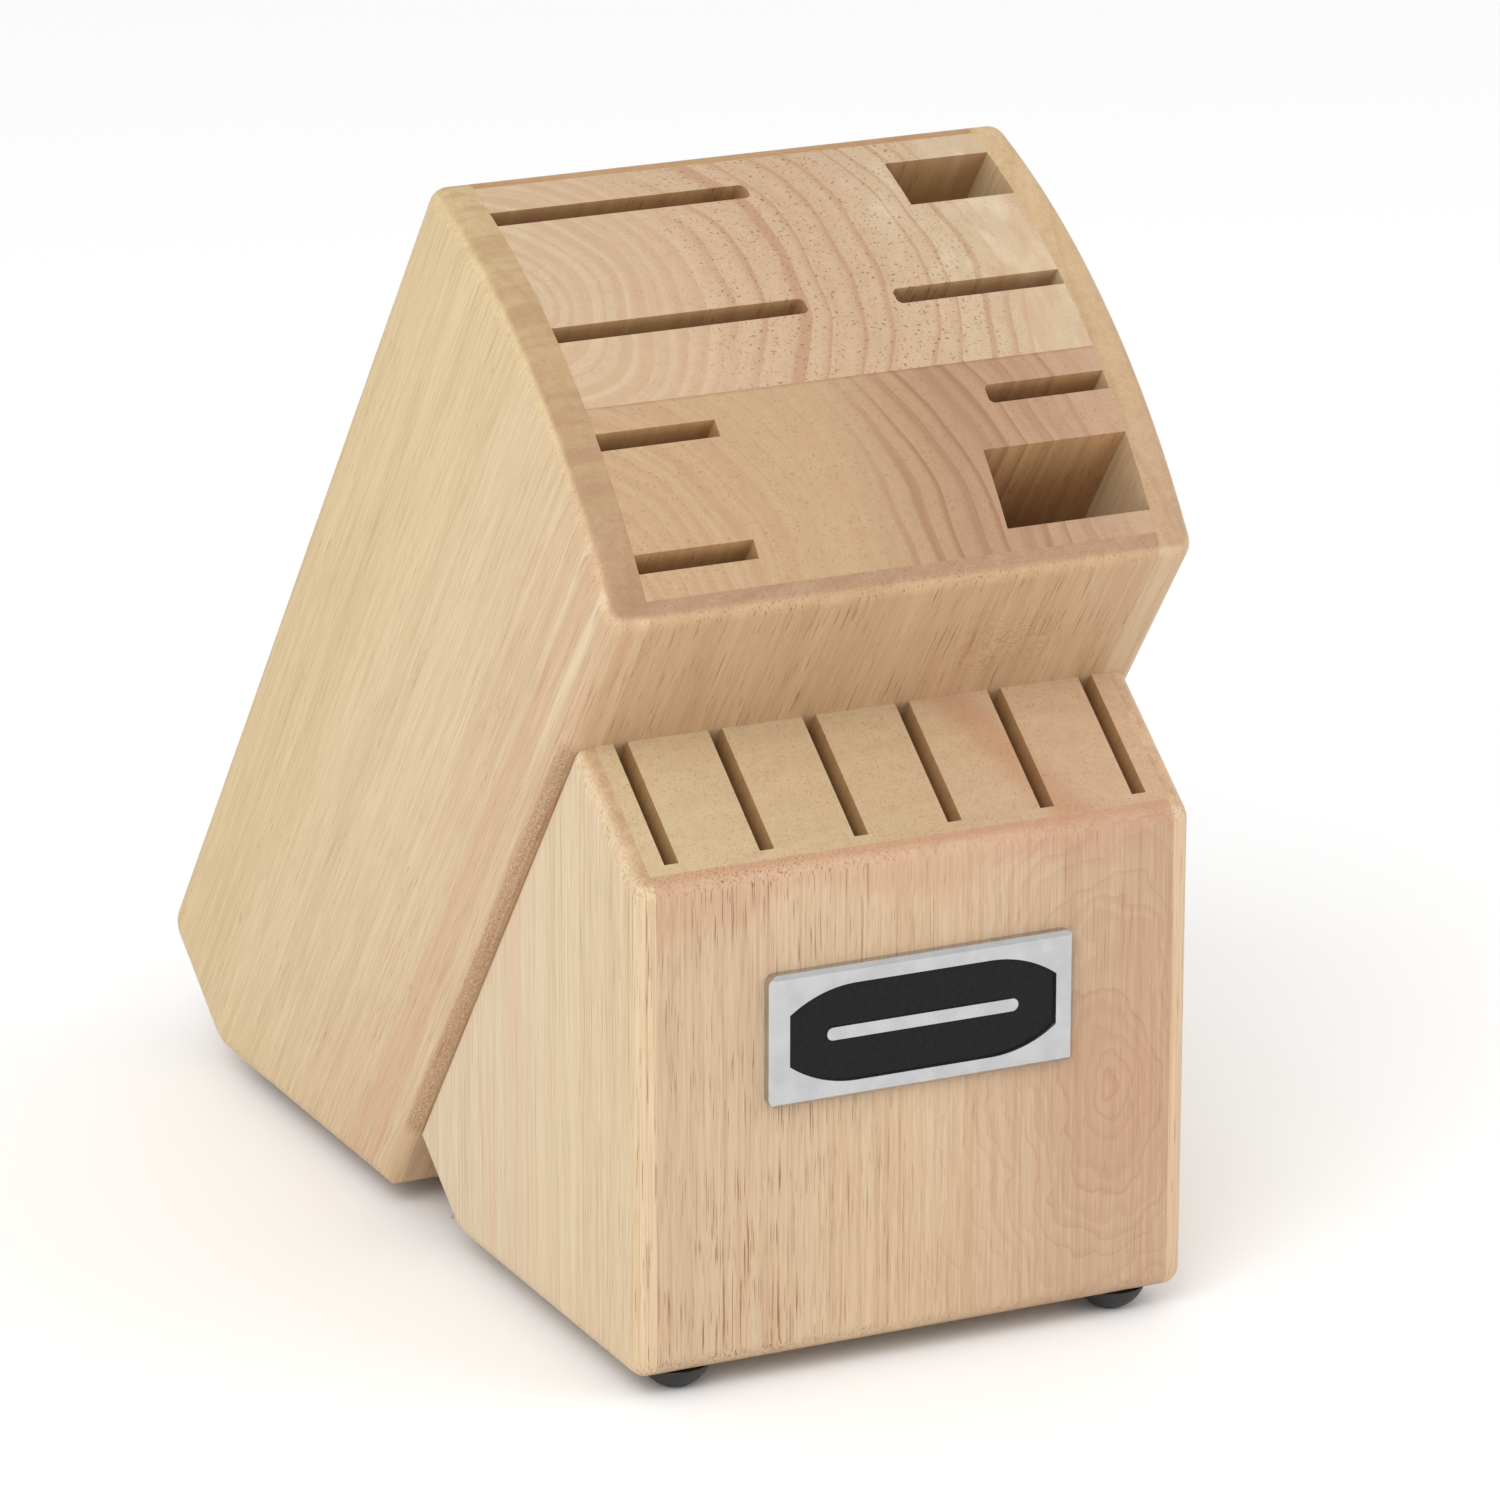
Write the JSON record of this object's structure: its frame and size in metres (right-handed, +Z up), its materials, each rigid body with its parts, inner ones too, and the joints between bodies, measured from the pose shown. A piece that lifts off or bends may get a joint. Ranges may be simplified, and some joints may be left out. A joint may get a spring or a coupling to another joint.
{
  "type": "knife block",
  "caption": "Slanted wooden knife block with a crowned, slotted rear block, a slotted steak-knife block in front, a badge and rubber feet.",
  "frame": {"origin": "on the surface that the feet rest on, under the centre of the whole block's bounding box", "axes": "+Z up; -Y is the upright front face with the badge, and the rear block leans back from it so that its slots open towards -Y and up; X is across the block"},
  "size_m": [0.115, 0.2191, 0.2046],
  "materials": {
    "rear_left_cheek_wood": "clear satin lacquer",
    "rear_right_cheek_wood": "clear satin lacquer",
    "rear_front_board_wood": "clear satin lacquer",
    "rear_back_board_wood": "clear satin lacquer",
    "rear_core_lower_wood": "clear satin lacquer",
    "rear_core_upper_wood": "clear satin lacquer",
    "front_left_cheek_wood": "clear satin lacquer",
    "front_right_cheek_wood": "clear satin lacquer",
    "front_face_board_wood": "clear satin lacquer",
    "front_core_wood": "clear satin lacquer",
    "badge_metal": "satin",
    "badge_black": "gloss",
    "foot_rubber": "matte"
  },
  "bodies": {
    "root": {"rear_left_cheek": "rear_left_cheek_wood", "rear_right_cheek": "rear_right_cheek_wood", "rear_front_board": "rear_front_board_wood", "rear_back_board": "rear_back_board_wood", "rear_core_lower": "rear_core_lower_wood", "rear_core_upper": "rear_core_upper_wood", "front_left_cheek": "front_left_cheek_wood", "front_right_cheek": "front_right_cheek_wood", "front_face_board": "front_face_board_wood", "front_core": "front_core_wood", "badge_plate": "badge_metal", "badge_panel": "badge_black", "foot_front_left": "foot_rubber", "foot_front_right": "foot_rubber", "foot_rear_left": "foot_rubber", "foot_rear_right": "foot_rubber"}
  },
  "joints": []
}
